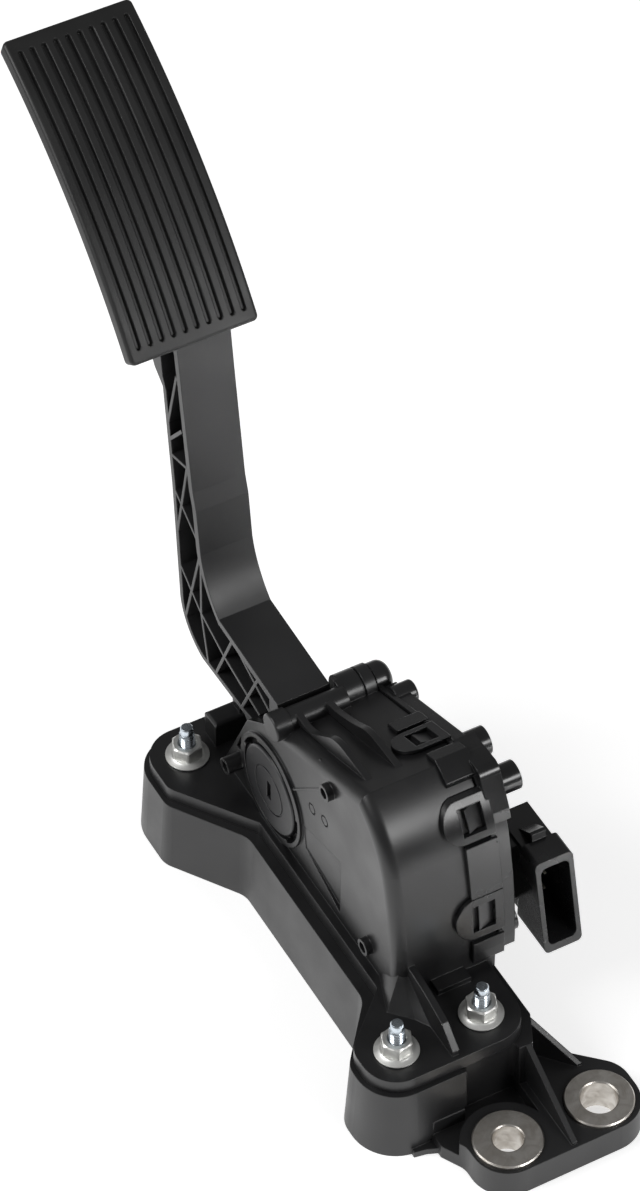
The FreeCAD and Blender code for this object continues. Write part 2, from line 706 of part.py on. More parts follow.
# Sensor cover: a shallow cap with a brow band, a skirt of strips and three snap tongues
cap = slab(side_profile(0.0, roof_rear, cover_floor), cover_left, cover_right)
cap_cheek = rod_x(cover_left, cover_right, pivot_y, pivot_z, cheek_radius)
cap_cheek = cap_cheek.common(box(cover_left, cover_right, bar_y - 60.0, pivot_y + 60.0, cover_floor, bar_z))
barrel_end = rod_x(cover_left, cover_right, barrel_y, barrel_z, barrel_dia / 2 - 0.7)
barrel_rim = [e for e in barrel_end.Edges if abs(e.CenterOfMass.x - cover_right) < 0.01]
barrel_end = barrel_end.makeFillet(4.0, barrel_rim)
roof_stub = rod_x(cover_left + 2.0, cover_right + 3.4, bar_y - 8.5, bar_z - 0.5, roof_stub_dia / 2)
roof_stub = roof_stub.makeFillet(1.2, [e for e in roof_stub.Edges if e.CenterOfMass.x > cover_right + 3.0])
strap_left = cover_left + 0.6
strap_right = strap_left + band_width
band_wire = yz_wire((brow_y + 8.1, brow_z - 3.6), [
    (brow_y + 8.1, brow_z - 0.6),
    (brow_y - 7.9, brow_z + 0.3),
    (brow_y - 10.5, brow_z - 0.7, brow_y - 12.2, brow_z - 3.0),
    (brow_y - 18.9, brow_z - 15.2),
    (brow_y - 20.2, brow_z - 19.6),
    (brow_y - 16.4, brow_z - 21.6),
    (brow_y - 3.4, brow_z - 10.6)])
brow_band = slab(band_wire, strap_left, strap_right)
lip_ring = slab(side_profile(-0.9, roof_rear, cover_floor), cover_left, cover_left + 2.0)
cover = cap.fuse([cap_cheek, barrel_end, roof_stub, brow_band, lip_ring])

# Stubs on the outer face
stub_places = [from_pivot(-48.2, 41.4), from_pivot(-69.6, 43.8), from_pivot(-87.6, -11.0)]
stub_ends = [strap_right + stub_length, strap_right + stub_length, cover_right + 2.4]
stubs = [rod_x(cover_right - 1.0, end, y, z, stub_dia / 2) for (y, z), end in zip(stub_places, stub_ends)]

# Connector: a raked collar and a slimmer neck that stands on the cover
socket_left = cover_right + socket_stand_off
socket_right = socket_left + socket_width
socket_low = pivot_z - 18.6
socket_high = socket_low + socket_height
mouth_top = front_y - 0.4
rake = socket_height * math.tan(math.radians(socket_rake_deg))
mouth_low = mouth_top - rake
collar_back = mouth_top + collar_length
socket_floor = mouth_low + rake / 2 + socket_depth + 5.0
neck_back = socket_floor + 9.0
collar = plate_x([(mouth_low, socket_low), (mouth_top, socket_high), (collar_back, socket_high),
                  (collar_back, socket_low)], socket_left, socket_right)
long_edges = [e for e in collar.Edges if abs(e.tangentAt(e.FirstParameter).y) > 0.99]
collar = collar.makeFillet(2.2, long_edges)
neck = box(socket_left + collar_step, socket_right - collar_step, collar_back - 1.0, neck_back,
           socket_low + collar_step + 1.0, socket_high - collar_step - 1.0)
bridge = box(cover_right - 1.0, socket_left + collar_step + 1.0, collar_back + 4.0, neck_back,
             socket_low + 6.0, socket_high - 4.0)
latch_y = collar_back - 2.0
latch = plate_x([(latch_y + 1.5, socket_high - 3.0), (latch_y + 2.5, socket_high + 3.0),
                 (latch_y + 4.0, socket_high + 3.0), (latch_y + 14.0, socket_high - 4.0)],
                socket_left + 5.0, socket_right - 5.0)
cover = cover.fuse(stubs + [collar, neck, bridge, latch])

# Skirt strips and tongues stand off the housing skin and run over it
skirt_low = side_profile(-0.3, roof_rear, cover_floor)
skirt_high = side_profile(-0.3 - tongue_thickness, roof_rear, cover_floor)
skirt = slab(skirt_high, tongue_left, cover_left + 2.0)
skirt = skirt.cut(slab(skirt_low, tongue_left - 1.0, cover_left + 3.0))
strip_left = housing_right - strip_length
strip_right = cover_left + 2.0
strips = [
    box(strip_left, strip_right, brow_y + 28.1, brow_y + 35.1, brow_z - 30.0, brow_z + 30.0),
    box(strip_left, strip_right, front_y + 20.6, brow_y + 6.8, pivot_z + 30.0, brow_z + 30.0),
    box(strip_left, strip_right, front_y - 20.0, front_y + 30.0, lower_clip[1] + 0.6, upper_clip[0] - 2.2),
    box(strip_left, strip_right, front_y - 20.0, front_y + 30.0, cover_floor, lower_clip[0] - 3.0)]


def tongue_frame(span, on_roof):
    """D-shaped outline of one tongue with its window, as a cutting block."""
    low, high = span
    middle = (low + high) / 2
    nose = (high - low) / 2
    depth = 7.0
    along = vec(0, 0, 1) if on_roof else vec(0, 1, 0)

    def at(x, s):
        return vec(x, s, brow_z - 20.0) if on_roof else vec(x, front_y - 20.0, s)

    edges = [Part.LineSegment(at(strip_right, low), at(strip_right, high)).toShape(),
             Part.LineSegment(at(strip_right, high), at(tongue_left + depth, high)).toShape(),
             Part.Arc(at(tongue_left + depth, high), at(tongue_left, middle),
                      at(tongue_left + depth, low)).toShape(),
             Part.LineSegment(at(tongue_left + depth, low), at(strip_right, low)).toShape()]
    outline = Part.Face(Part.Wire(edges)).extrude(along * 50.0)
    return outline.cut(clip_frame(span, window_left, window_left + window_length, nose * 0.34, on_roof))


skirt_frames = strips + [tongue_frame(roof_clip, True), tongue_frame(upper_clip, False),
                         tongue_frame(lower_clip, False)]
skirt_pieces = [skirt.common(frame) for frame in skirt_frames]
cover = cover.fuse(skirt_pieces)

# Hollows of the cover: board chamber, socket and holes for the terminals
board_room = slab(side_profile(cover_wall, roof_rear - cover_wall, cover_floor + cover_wall),
                  cover_left - 1.0, cover_right - cover_wall)
board_cheek = rod_x(cover_left - 1.0, cover_right - cover_wall, pivot_y, pivot_z, cheek_radius - cover_wall)
board_cheek = board_cheek.common(box(cover_left - 1.0, cover_right, bar_y - 60.0, pivot_y + 60.0,
                                     cover_floor + cover_wall, bar_z))
cavity = box(socket_left + socket_wall, socket_right - socket_wall, mouth_low - 5.0, socket_floor,
             socket_low + socket_wall + 1.0, socket_high - socket_wall - 1.0)
cavity = cavity.makeFillet(2.6, [e for e in cavity.Edges if abs(e.tangentAt(e.FirstParameter).y) > 0.99])
cover = without(cover, [board_room, board_cheek])
cover = cover.cut(cavity)

# Circuit board on posts against the cover, with the Hall sensors facing the magnet
board_right = cover_right - cover_wall - 1.4
board_left = board_right - board_thickness
board_rear = pivot_y + 14.0
board_front = front_y + board_set_back
board_low = pivot_z - 14.5
board_high = board_low + board_height
board_posts = [(board_front + 8.0, board_high - 4.0), (board_rear - 26.0, board_low + 6.0),
               (board_rear - 30.0, board_high - 6.0)]
cover = cover.fuse([rod_x(board_right, cover_right - 1.0, y, z, 2.5) for y, z in board_posts])

# Six terminals: each runs in from the board and turns forward into the socket
pin_middle = (socket_low + socket_high) / 2
pin_rows = [pin_middle - 8.5, pin_middle, pin_middle + 8.5]
pin_columns = [(socket_left + 5.2, socket_floor + 2.6), (socket_right - 5.2, socket_floor + 5.6)]
pin_tip = collar_back - 1.0


def terminal(x, y, z, margin):
    half = pin_size / 2 + margin
    inward = box(board_left - 0.6 - margin, x + half, y - half, y + half, z - half, z + half)
    forward = box(x - half, x + half, pin_tip, y + half, z - half, z + half)
    return inward.fuse(forward).removeSplitter()


pin_places = [(x, y, z) for x, y in pin_columns for z in pin_rows]
cover = cover.cut([terminal(x, y, z, seat_gap) for x, y, z in pin_places])
save("sensor_cover", cover.removeSplitter())
save("connector_terminals", Part.makeCompound([terminal(x, y, z, 0.0) for x, y, z in pin_places]))

tail_high = cheek_radius - cover_wall - 2.0
board = plate_x([(board_front, board_low), (board_rear, board_low), (board_rear, pivot_z + tail_high * 0.7),
                 (pivot_y - 8.0, pivot_z + tail_high * 0.9), (pivot_y - 10.0, board_high),
                 (board_front, board_high)], board_left, board_right)
board = board.cut([terminal(x, y, z, seat_gap) for x, y, z in pin_places])
save("circuit_board", board)
chip_right = board_left
chip_left = chip_right - chip_thickness
half_chip = chip_size / 2
chips = [box(chip_left, chip_right, chip_y - half_chip, chip_y + half_chip,
             pivot_z - half_chip, pivot_z + half_chip)
         for chip_y in (pivot_y - chip_size * 0.6, pivot_y + chip_size * 0.6)]
save("hall_sensors", Part.makeCompound(chips))


# Pivot axle pushed in from the left: a broad head runs in the left wall, the shaft in the bulkhead
axle_left = housing_left - axle_head_proud
axle_right = chip_left - magnet_air_gap
head_right = chamber_left + 0.2
head = rod_x(axle_left, head_right, pivot_y, pivot_z, axle_head_dia / 2)
head = head.makeFillet(1.0, [e for e in head.Edges if abs(e.CenterOfMass.x - axle_left) < 0.01])
shaft = rod_x(head_right - 1.0, axle_right, pivot_y, pivot_z, axle_dia / 2)
key_slot = box(axle_left - 1.0, axle_left + 1.6, pivot_y - 1.5, pivot_y + 1.5, pivot_z - 4.5, pivot_z + 4.5)
face_ring = rod_x(axle_left - 1.0, axle_left + 0.5, pivot_y, pivot_z, 10.7)
face_ring = face_ring.cut(rod_x(axle_left - 1.0, axle_left + 0.5, pivot_y, pivot_z, 10.0))
magnet_left = axle_right - magnet_length
magnet_pocket = rod_x(magnet_left, axle_right + 1.0, pivot_y, pivot_z, magnet_dia / 2 + seat_gap)
axle = head.fuse(shaft).cut([key_slot, face_ring, magnet_pocket])
save("pivot_axle", axle.removeSplitter())
save("sensor_magnet", rod_x(magnet_left, axle_right, pivot_y, pivot_z, magnet_dia / 2))


# Pad: a bowed plate about an axis along X, with lengthwise grooves
pad_foot = from_pivot(75.2, 162.8)
pad_head = from_pivot(172.8, 242.5)
chord_y = pad_head[0] - pad_foot[0]
chord_z = pad_head[1] - pad_foot[1]
chord = math.hypot(chord_y, chord_z)
pad_radius = (chord * chord / 4 + pad_sagitta * pad_sagitta) / (2 * pad_sagitta)
centre_drop = (pad_radius - pad_sagitta) / chord
bow_y = (pad_foot[0] + pad_head[0]) / 2 + chord_z * centre_drop
bow_z = (pad_foot[1] + pad_head[1]) / 2 - chord_y * centre_drop
foot_angle = math.atan2(pad_foot[1] - bow_z, pad_foot[0] - bow_y)
head_angle = math.atan2(pad_head[1] - bow_z, pad_head[0] - bow_y)


def on_bow(depth, angle):
    """Point at a depth below the tread, at an angle about the bow axis."""
    return (bow_y + (pad_radius - depth) * math.cos(angle), bow_z + (pad_radius - depth) * math.sin(angle))


def bow_strip(x0, x1, top, bottom, start, finish):
    """Bowed strip between two depths and two angles."""
    middle = (start + finish) / 2
    wire = yz_wire(on_bow(top, start), [
        (*on_bow(top, middle), *on_bow(top, finish)),
        on_bow(bottom, finish),
        (*on_bow(bottom, middle), *on_bow(bottom, start)),
        on_bow(top, start)])
    return slab(wire, x0, x1)


pad_left = arm_middle + pad_offset - pad_width / 2
pad_right = pad_left + pad_width
pad = bow_strip(pad_left, pad_right, 0.0, pad_thickness, foot_angle, head_angle)


def on_tread(point):
    return abs(math.hypot(point.y - bow_y, point.z - bow_z) - pad_radius) < 0.01


corner_edges = [e for e in pad.Edges if abs(e.tangentAt(e.FirstParameter).x) < 0.01
                and e.Length < pad_thickness * 1.5]
pad = pad.makeFillet(4.0, corner_edges)
tread_edges = [e for e in pad.Edges if all(on_tread(v.Point) for v in e.Vertexes)]
pad = pad.makeFillet(pad_edge, tread_edges)
groove_turn = groove_end / pad_radius
for i in range(groove_count):
    middle_of_groove = (pad_left + pad_right) / 2 + (i - (groove_count - 1) / 2) * groove_pitch
    pad = pad.cut(bow_strip(middle_of_groove - groove_width / 2, middle_of_groove + groove_width / 2,
                            -3.0, groove_depth, foot_angle - groove_turn, head_angle + groove_turn))
peg_angles = [foot_angle - 14.0 / pad_radius, foot_angle - 52.0 / pad_radius]
peg_length = 5.0


def pad_peg(angle, radius, length):
    y, z = on_bow(pad_thickness - 1.0, angle)
    inward = vec(0, -math.cos(angle), -math.sin(angle))
    return Part.makeCylinder(radius, length + 1.0, vec(arm_middle, y, z), inward)


pad = pad.fuse([pad_peg(angle, 3.5, peg_length) for angle in peg_angles])
save("pedal_pad", pad.removeSplitter())


# Pedal arm: an L-shaped beam with a plate along each edge, open on the left between truss ribs
saddle = pad_thickness + 0.1
ledge = foot_angle + 0.3 / pad_radius
saddle_end = foot_angle - 84.0 / pad_radius
saddle_half = (ledge + saddle_end) / 2
arm_front = [
    from_pivot(3.8, 41.0),
    from_pivot(49.7, 43.7),
    (*from_pivot(58.4, 53.3), *from_pivot(63.6, 65.8)),
    from_pivot(66.3, 86.5),
    from_pivot(68.7, 94.4),
    from_pivot(75.6, 141.1),
]
arm_head = [
    on_bow(4.0, ledge),
    on_bow(saddle, ledge),
    (*on_bow(saddle, saddle_half), *on_bow(saddle, saddle_end)),
    on_bow(saddle + 3.0, saddle_end),
]
arm_rear = [
    from_pivot(97.0, 136.0),
    from_pivot(90.7, 130.9),
    from_pivot(85.4, 85.1),
    from_pivot(81.6, 31.2),
    (*from_pivot(76.3, 16.2), *from_pivot(*arm_under_rear)),
    from_pivot(*arm_under_front),
    from_pivot(21.0, 2.0),
    from_pivot(0.0, 0.0),
    from_pivot(0.0, 21.9),
]
arm_wire = yz_wire(arm_front[0], arm_front[1:] + arm_head + arm_rear)
beam = slab(arm_wire, arm_left, arm_right)

# Pocket of the beam, kept clear of the drum
pocket_wire = yz_wire(from_pivot(10.0, 41.0 - front_plate), [
    from_pivot(50.0, 43.9 - front_plate),
    (*from_pivot(60.8, 52.2), *from_pivot(66.6, 65.4)),
    from_pivot(69.3, 86.0),
    from_pivot(71.7, 93.9),
    from_pivot(78.4, 140.0),
    from_pivot(80.6, 154.0),
    (*from_pivot(82.4, 157.0), *from_pivot(85.6, 155.6)),
    from_pivot(92.0, 146.0),
    from_pivot(90.8, 136.4),
    from_pivot(90.7 - rear_plate, 131.0),
    from_pivot(85.4 - rear_plate, 85.3),
    from_pivot(81.6 - rear_plate, 31.6),
    (*from_pivot(74.4, 17.8), *from_pivot(63.6, 8.9 + rear_plate)),
    from_pivot(30.6, 10.2 + rear_plate),
    from_pivot(22.0, 14.0),
    from_pivot(10.0, 26.0)])
pocket = slab(pocket_wire, arm_left - 1.0, arm_right - arm_web)


def truss(y0, z0, y1, z1, width):
    """Thin rib between two points given from the pivot."""
    length = math.hypot(y1 - y0, z1 - z0)
    py = (z0 - z1) / length * width / 2
    pz = (y1 - y0) / length * width / 2
    corners = [from_pivot(y0 + py, z0 + pz), from_pivot(y1 + py, z1 + pz),
               from_pivot(y1 - py, z1 - pz), from_pivot(y0 - py, z0 - pz)]
    return plate_x(corners, arm_left, arm_right)


truss_lines = [
    (79.6, 145.0, 88.8, 110.0), (76.6, 119.7, 88.0, 105.4), (87.4, 99.6, 73.4, 103.6),
    (86.6, 85.2, 66.5, 71.7), (73.0, 103.6, 83.6, 56.0), (81.8, 46.0, 63.6, 33.0),
    (64.6, 64.0, 77.6, 19.0), (63.8, 60.0, 64.3, 33.6), (64.3, 33.6, 58.9, 9.0),
    (64.3, 33.6, 46.5, 26.9), (46.5, 26.9, 18.0, 20.9), (38.4, 44.0, 54.0, 9.0),
    (37.0, 41.5, 10.0, 30.6), (18.6, 41.0, 33.0, 10.5)]
ribs = [truss(*line, truss_rib).common(pocket) for line in truss_lines]
beam = beam.cut(pocket).fuse(ribs)

# Drum and lever nose inside the housing
drum_left = head_right + drum_side_gap
drum_right = chamber_right - drum_side_gap
drum = rod_x(drum_left, drum_right, pivot_y, pivot_z, drum_radius)
spring_y = pivot_y - spring_reach
nose_top = -4.2
nose_half = outer_coil_dia / 2 + 0.6
nose = plate_x([from_pivot(-8.0, nose_top + 3.0), (spring_y + nose_half, pivot_z + nose_top),
                (spring_y - nose_half, pivot_z + nose_top), (spring_y - nose_half, pivot_z + nose_top - 6.0),
                from_pivot(-14.0, nose_top - 13.0)], arm_left, arm_right)
arm = joined([beam, drum, nose])
arm = arm.cut([rod_x(drum_left - 1.0, drum_right + 1.0, pivot_y, pivot_z, axle_dia / 2 + seat_gap)]
              + [pad_peg(angle, 3.5 + seat_gap, peg_length + 0.3) for angle in peg_angles])
save("pedal_arm", arm.removeSplitter())


# Return springs, nested, between a seat on the lever nose and the friction shoe
seat_low = pivot_z + nose_top + seat_gap
spring_low = seat_low + spring_seat_height + seat_gap
spring_high = spring_low + spring_length
spring_seat = rod_z(arm_middle, spring_y, seat_low, seat_low + spring_seat_height, outer_coil_dia / 2)
spigot = (inner_coil_dia - 2 * inner_wire) / 2 - 0.4
spigot_top = seat_low + spring_seat_height + 4.0
spring_seat = spring_seat.fuse(rod_z(arm_middle, spring_y, seat_low, spigot_top, spigot))
save("spring_seat", spring_seat.removeSplitter())


def coil_spring(outer_dia, wire, turns):
    radius = (outer_dia - wire) / 2
    rise = spring_length - wire
    helix = Part.makeHelix(rise / turns, rise, radius)
    ring = Part.Wire(Part.makeCircle(wire / 2, vec(radius, 0, 0), vec(0, 1, 0)))
    spring = Part.Wire(helix.Edges).makePipeShell([ring], True, False)
    spring.translate(vec(arm_middle, spring_y, spring_low + wire / 2))
    return spring


save("outer_spring", coil_spring(outer_coil_dia, outer_wire, outer_turns))
save("inner_spring", coil_spring(inner_coil_dia, inner_wire, inner_turns))


# Friction shoe: bears on the drum, carries the springs below its plate and rocks on the roof rib
shoe_left = arm_middle - shoe_width / 2
shoe_right = shoe_left + shoe_width
lining = drum_radius + 0.3
back = lining + shoe_depth


def on_drum(radius, degrees):
    turn = math.radians(degrees)
    return from_pivot(radius * math.cos(turn), radius * math.sin(turn))


plate_low = spring_high + seat_gap
shoe_wire = yz_wire(on_drum(lining, 104), [
    (*on_drum(lining, 126), *on_drum(lining, 148)),
    on_drum(back, 148),
    (spring_y + outer_coil_dia / 2 + 1.5, plate_low),
    (spring_y - outer_coil_dia / 2 - 0.6, plate_low),
    (spring_y - outer_coil_dia / 2 - 0.6, plate_low + shoe_plate),
    (fulcrum_y - 4.0, plate_low + shoe_plate),
    (fulcrum_y, fulcrum_z - seat_gap * 4, fulcrum_y + 4.0, plate_low + shoe_plate),
    on_drum(back, 104),
    on_drum(lining, 104)])
save("friction_shoe", slab(shoe_wire, shoe_left, shoe_right))
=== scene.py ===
import math
import bpy
import numpy as np
from mathutils import Matrix, Vector


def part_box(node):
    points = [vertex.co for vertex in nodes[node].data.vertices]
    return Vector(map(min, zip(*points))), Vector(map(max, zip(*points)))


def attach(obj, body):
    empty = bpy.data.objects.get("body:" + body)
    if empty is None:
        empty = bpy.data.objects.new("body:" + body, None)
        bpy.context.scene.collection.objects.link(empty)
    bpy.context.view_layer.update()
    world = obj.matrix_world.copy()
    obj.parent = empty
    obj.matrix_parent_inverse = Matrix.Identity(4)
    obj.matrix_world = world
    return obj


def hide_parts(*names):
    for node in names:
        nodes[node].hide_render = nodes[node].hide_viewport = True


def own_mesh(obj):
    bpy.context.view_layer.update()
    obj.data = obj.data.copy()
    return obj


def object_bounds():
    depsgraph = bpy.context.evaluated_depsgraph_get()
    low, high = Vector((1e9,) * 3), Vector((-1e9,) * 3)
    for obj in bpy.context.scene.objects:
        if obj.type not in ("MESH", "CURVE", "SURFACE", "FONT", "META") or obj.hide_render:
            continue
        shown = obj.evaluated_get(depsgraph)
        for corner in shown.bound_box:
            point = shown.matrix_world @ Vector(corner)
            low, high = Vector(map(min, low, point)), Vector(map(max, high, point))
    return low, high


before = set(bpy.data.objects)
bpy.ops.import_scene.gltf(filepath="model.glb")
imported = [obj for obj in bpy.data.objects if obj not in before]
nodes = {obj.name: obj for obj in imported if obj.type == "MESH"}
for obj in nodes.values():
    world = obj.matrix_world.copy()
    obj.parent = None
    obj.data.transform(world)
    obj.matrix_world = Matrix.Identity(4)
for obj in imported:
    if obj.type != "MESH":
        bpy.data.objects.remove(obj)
cad_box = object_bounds()
MM = 0.001


# Adapter base: one block of black glass-filled nylon, injection moulded with its ears and ribs.
# The glass leaves the skin satin, with a fine spark-eroded grain and paler, rubbed edges.
def linear(hex_colour):
    """Linear RGBA of an sRGB hex colour, by the sRGB curve."""
    srgb = np.array([int(hex_colour[i:i + 2], 16) for i in (1, 3, 5)]) / 255
    rgb = np.where(srgb <= 0.04045, srgb / 12.92, ((srgb + 0.055) / 1.055) ** 2.4)
    return (*rgb.tolist(), 1.0)


def put(tree, kind, inputs, **settings):
    """Adds a node: settings are its own properties, inputs are values or the sockets to link."""
    node = tree.nodes.new(kind)
    for name, value in settings.items():
        setattr(node, name, value)
    for name, value in inputs.items():
        if isinstance(value, bpy.types.NodeSocket):
            tree.links.new(value, node.inputs[name])
        else:
            node.inputs[name].default_value = value
    return node


def new_material(name):
    """Empty node material with an output, and its Object coordinates."""
    material = bpy.data.materials.new(name)
    material.use_nodes = True
    tree = material.node_tree
    tree.nodes.clear()
    return material, tree, put(tree, "ShaderNodeTexCoord", {}).outputs["Object"]


def finish_material(tree, shader):
    put(tree, "ShaderNodeOutputMaterial", {"Surface": shader.outputs["BSDF"]})


def moulded_plastic(name, colour, rubbed, grain_mm, depth_mm, gloss, ior=1.53, edge_mm=0.5):
    """Moulded plastic skin: grain and slow mottling from noise, rounded and rubbed edges.
    An edge is where the rounded normal turns away from the face's own."""
    material, tree, place = new_material(name)
    mottle_mm = 22.0
    most_wear = 0.55
    most_mottle = 0.3
    grain = put(tree, "ShaderNodeTexNoise", {"Vector": place, "Scale": 1 / (grain_mm * MM), "Detail": 3.0})
    mottle = put(tree, "ShaderNodeTexNoise", {"Vector": place, "Scale": 1 / (mottle_mm * MM),
                                              "Detail": 4.0})
    rounded = put(tree, "ShaderNodeBevel", {"Radius": edge_mm * MM}, samples=6)
    face = put(tree, "ShaderNodeNewGeometry", {})
    along = put(tree, "ShaderNodeVectorMath", {0: rounded.outputs["Normal"], 1: face.outputs["Normal"]},
                operation="DOT_PRODUCT")
    wear = put(tree, "ShaderNodeMapRange", {"Value": along.outputs["Value"], "From Min": 1.0,
                                            "From Max": 0.8, "To Min": 0.0, "To Max": most_wear})
    tint = put(tree, "ShaderNodeMapRange", {"Value": mottle.outputs["Fac"], "From Min": 0.3,
                                            "From Max": 0.7, "To Min": 0.0, "To Max": most_mottle})
    shade = put(tree, "ShaderNodeMath", {0: wear.outputs["Result"], 1: tint.outputs["Result"]},
                operation="MAXIMUM")
    skin = put(tree, "ShaderNodeMix", {"Factor": shade.outputs["Value"]}, data_type="RGBA")
    skin.inputs["A"].default_value = linear(colour)
    skin.inputs["B"].default_value = linear(rubbed)
    rough = put(tree, "ShaderNodeMapRange", {"Value": mottle.outputs["Fac"], "From Min": 0.3,
                                             "From Max": 0.7, "To Min": gloss - 0.05, "To Max": gloss + 0.06})
    bump = put(tree, "ShaderNodeBump", {"Height": grain.outputs["Fac"], "Normal": rounded.outputs["Normal"],
                                        "Strength": 1.0, "Distance": depth_mm * MM})
    shader = put(tree, "ShaderNodeBsdfPrincipled", {
        "Base Color": skin.outputs["Result"], "Roughness": rough.outputs["Result"],
        "Normal": bump.outputs["Normal"], "IOR": ior})
    finish_material(tree, shader)
    return material


def dress(node, material):
    """Gives a CAD node one material all over."""
    nodes[node].data.materials.clear()
    nodes[node].data.materials.append(material)


# The real grain is about 0.3 mm, drawn here at 0.9 mm so that it shows in the render.
base_nylon = moulded_plastic("glass_filled_nylon_base", "#161617", "#262627", 0.9, 0.02, 0.42)
dress("adapter_base", base_nylon)


# Steel bushes: turned from bar, parted off and pressed into the ears to take the floor bolts.
# The cutting tool leaves fine rings about the bore, and handling leaves dull smudges.
# The real rings are about 0.1 mm apart, drawn here at 0.8 mm so that they show.
WAVE_PERIOD = 0.31  # metres from crest to crest in a wave texture of scale 1


def turned_steel(name, bush):
    """Steel with rings about the bush's own axis: the ring height is a wave of the distance to it."""
    low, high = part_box(bush)
    axis = (low + high) / 2
    ring_mm = 0.8
    ring_depth_mm = 0.012
    smudge_mm = 5.0
    edge_mm = 0.3
    material, tree, place = new_material(name)
    centred = put(tree, "ShaderNodeMapping", {"Vector": place, "Location": (-axis.x, -axis.y, 0.0)})
    rings = put(tree, "ShaderNodeTexWave", {"Vector": centred.outputs["Vector"],
                                            "Scale": WAVE_PERIOD / (ring_mm * MM),
                                            "Distortion": 0.6, "Detail": 1.0, "Detail Scale": 1.5},
                wave_type="RINGS", rings_direction="Z")
    smudge = put(tree, "ShaderNodeTexNoise", {"Vector": centred.outputs["Vector"],
                                              "Scale": 1 / (smudge_mm * MM),
                                              "Detail": 5.0, "Distortion": 0.8})
    dull = put(tree, "ShaderNodeMapRange", {"Value": smudge.outputs["Fac"], "From Min": 0.35,
                                            "From Max": 0.7})
    skin = put(tree, "ShaderNodeMix", {"Factor": dull.outputs["Result"]}, data_type="RGBA")
    skin.inputs["A"].default_value = linear("#d8d4ce")
    skin.inputs["B"].default_value = linear("#b4aea6")
    rough = put(tree, "ShaderNodeMapRange", {"Value": smudge.outputs["Fac"], "From Min": 0.35,
                                             "From Max": 0.7, "To Min": 0.3, "To Max": 0.46})
    rounded = put(tree, "ShaderNodeBevel", {"Radius": edge_mm * MM}, samples=6)
    bump = put(tree, "ShaderNodeBump", {"Height": rings.outputs["Fac"], "Normal": rounded.outputs["Normal"],
                                        "Strength": 1.0, "Distance": ring_depth_mm * MM})
    shader = put(tree, "ShaderNodeBsdfPrincipled", {
        "Base Color": skin.outputs["Result"], "Roughness": rough.outputs["Result"],
        "Normal": bump.outputs["Normal"], "Metallic": 1.0})
    finish_material(tree, shader)
    return material


dress("locating_bush", turned_steel("turned_steel_locating", "locating_bush"))
dress("clearance_bush", turned_steel("turned_steel_clearance", "clearance_bush"))


# Studs: M6 cold-headed steel with a rolled thread and a dog point that guides the nut on.
# Bright zinc plate gives them a bluish shine.
def ring_mesh(rings, ends):
    """Mesh through an array of rings (ring, point, xyz), each closed on itself. With ends "loop" the
    last ring meets the first, and with "poles" each end ring closes to its middle point."""
    count, around, _ = rings.shape
    point = np.arange(around)
    after = np.roll(point, -1)
    rows = np.arange(count if ends == "loop" else count - 1)
    start = rows[:, None] * around
    onward = ((rows + 1) % count)[:, None] * around
    quads = np.stack([start + point, start + after, onward + after, onward + point], axis=-1).reshape(-1, 4)
    verts = rings.reshape(-1, 3)
    faces = quads.tolist()
    if ends == "poles":
        verts = np.vstack([verts, rings[0].mean(0), rings[-1].mean(0)])
        first = len(verts) - 2
        last_ring = (count - 1) * around
        faces += np.stack([after, point, np.full(around, first)], axis=-1).tolist()
        last = np.full(around, first + 1)
        faces += np.stack([last_ring + point, last_ring + after, last], axis=-1).tolist()
    return verts, faces


def group_piece(name, verts, faces, places, body, material, sharp_deg):
    """One object with a copy of a mesh at each place, smooth apart from edges sharper than an angle."""
    offsets = np.array(places)
    all_verts = (verts[None] + offsets[:, None]).reshape(-1, 3)
    all_faces = [[i + k * len(verts) for i in face] for k in range(len(places)) for face in faces]
    mesh = bpy.data.meshes.new(name)
    mesh.from_pydata(all_verts.tolist(), [], all_faces)
    mesh.materials.append(material)
    mesh.shade_smooth()
    mesh.set_sharp_from_angle(angle=math.radians(sharp_deg))
    piece = bpy.data.objects.new(name, mesh)
    bpy.context.scene.collection.objects.link(piece)
    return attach(piece, body)


def plated_steel(name, bright, dull, spot_mm, shine, roll):
    """Zinc-plated steel: noise mixes two tones of plate, and roughness follows it."""
    edge_mm = 0.2
    relief_mm = 0.02
    material, tree, place = new_material(name)
    cloud = put(tree, "ShaderNodeTexNoise", {"Vector": place, "Scale": 1 / (spot_mm * MM), "Detail": 4.0})
    skin = put(tree, "ShaderNodeMix", {"Factor": cloud.outputs["Fac"]}, data_type="RGBA")
    skin.inputs["A"].default_value = linear(bright)
    skin.inputs["B"].default_value = linear(dull)
    rough = put(tree, "ShaderNodeMapRange", {"Value": cloud.outputs["Fac"], "From Min": 0.3,
                                             "From Max": 0.7, "To Min": shine, "To Max": shine + roll})
    rounded = put(tree, "ShaderNodeBevel", {"Radius": edge_mm * MM}, samples=6)
    bump = put(tree, "ShaderNodeBump", {"Height": cloud.outputs["Fac"], "Normal": rounded.outputs["Normal"],
                                        "Strength": 1.0, "Distance": relief_mm * MM})
    shader = put(tree, "ShaderNodeBsdfPrincipled", {
        "Base Color": skin.outputs["Result"], "Roughness": rough.outputs["Result"],
        "Normal": bump.outputs["Normal"], "Metallic": 1.0})
    finish_material(tree, shader)
    return material


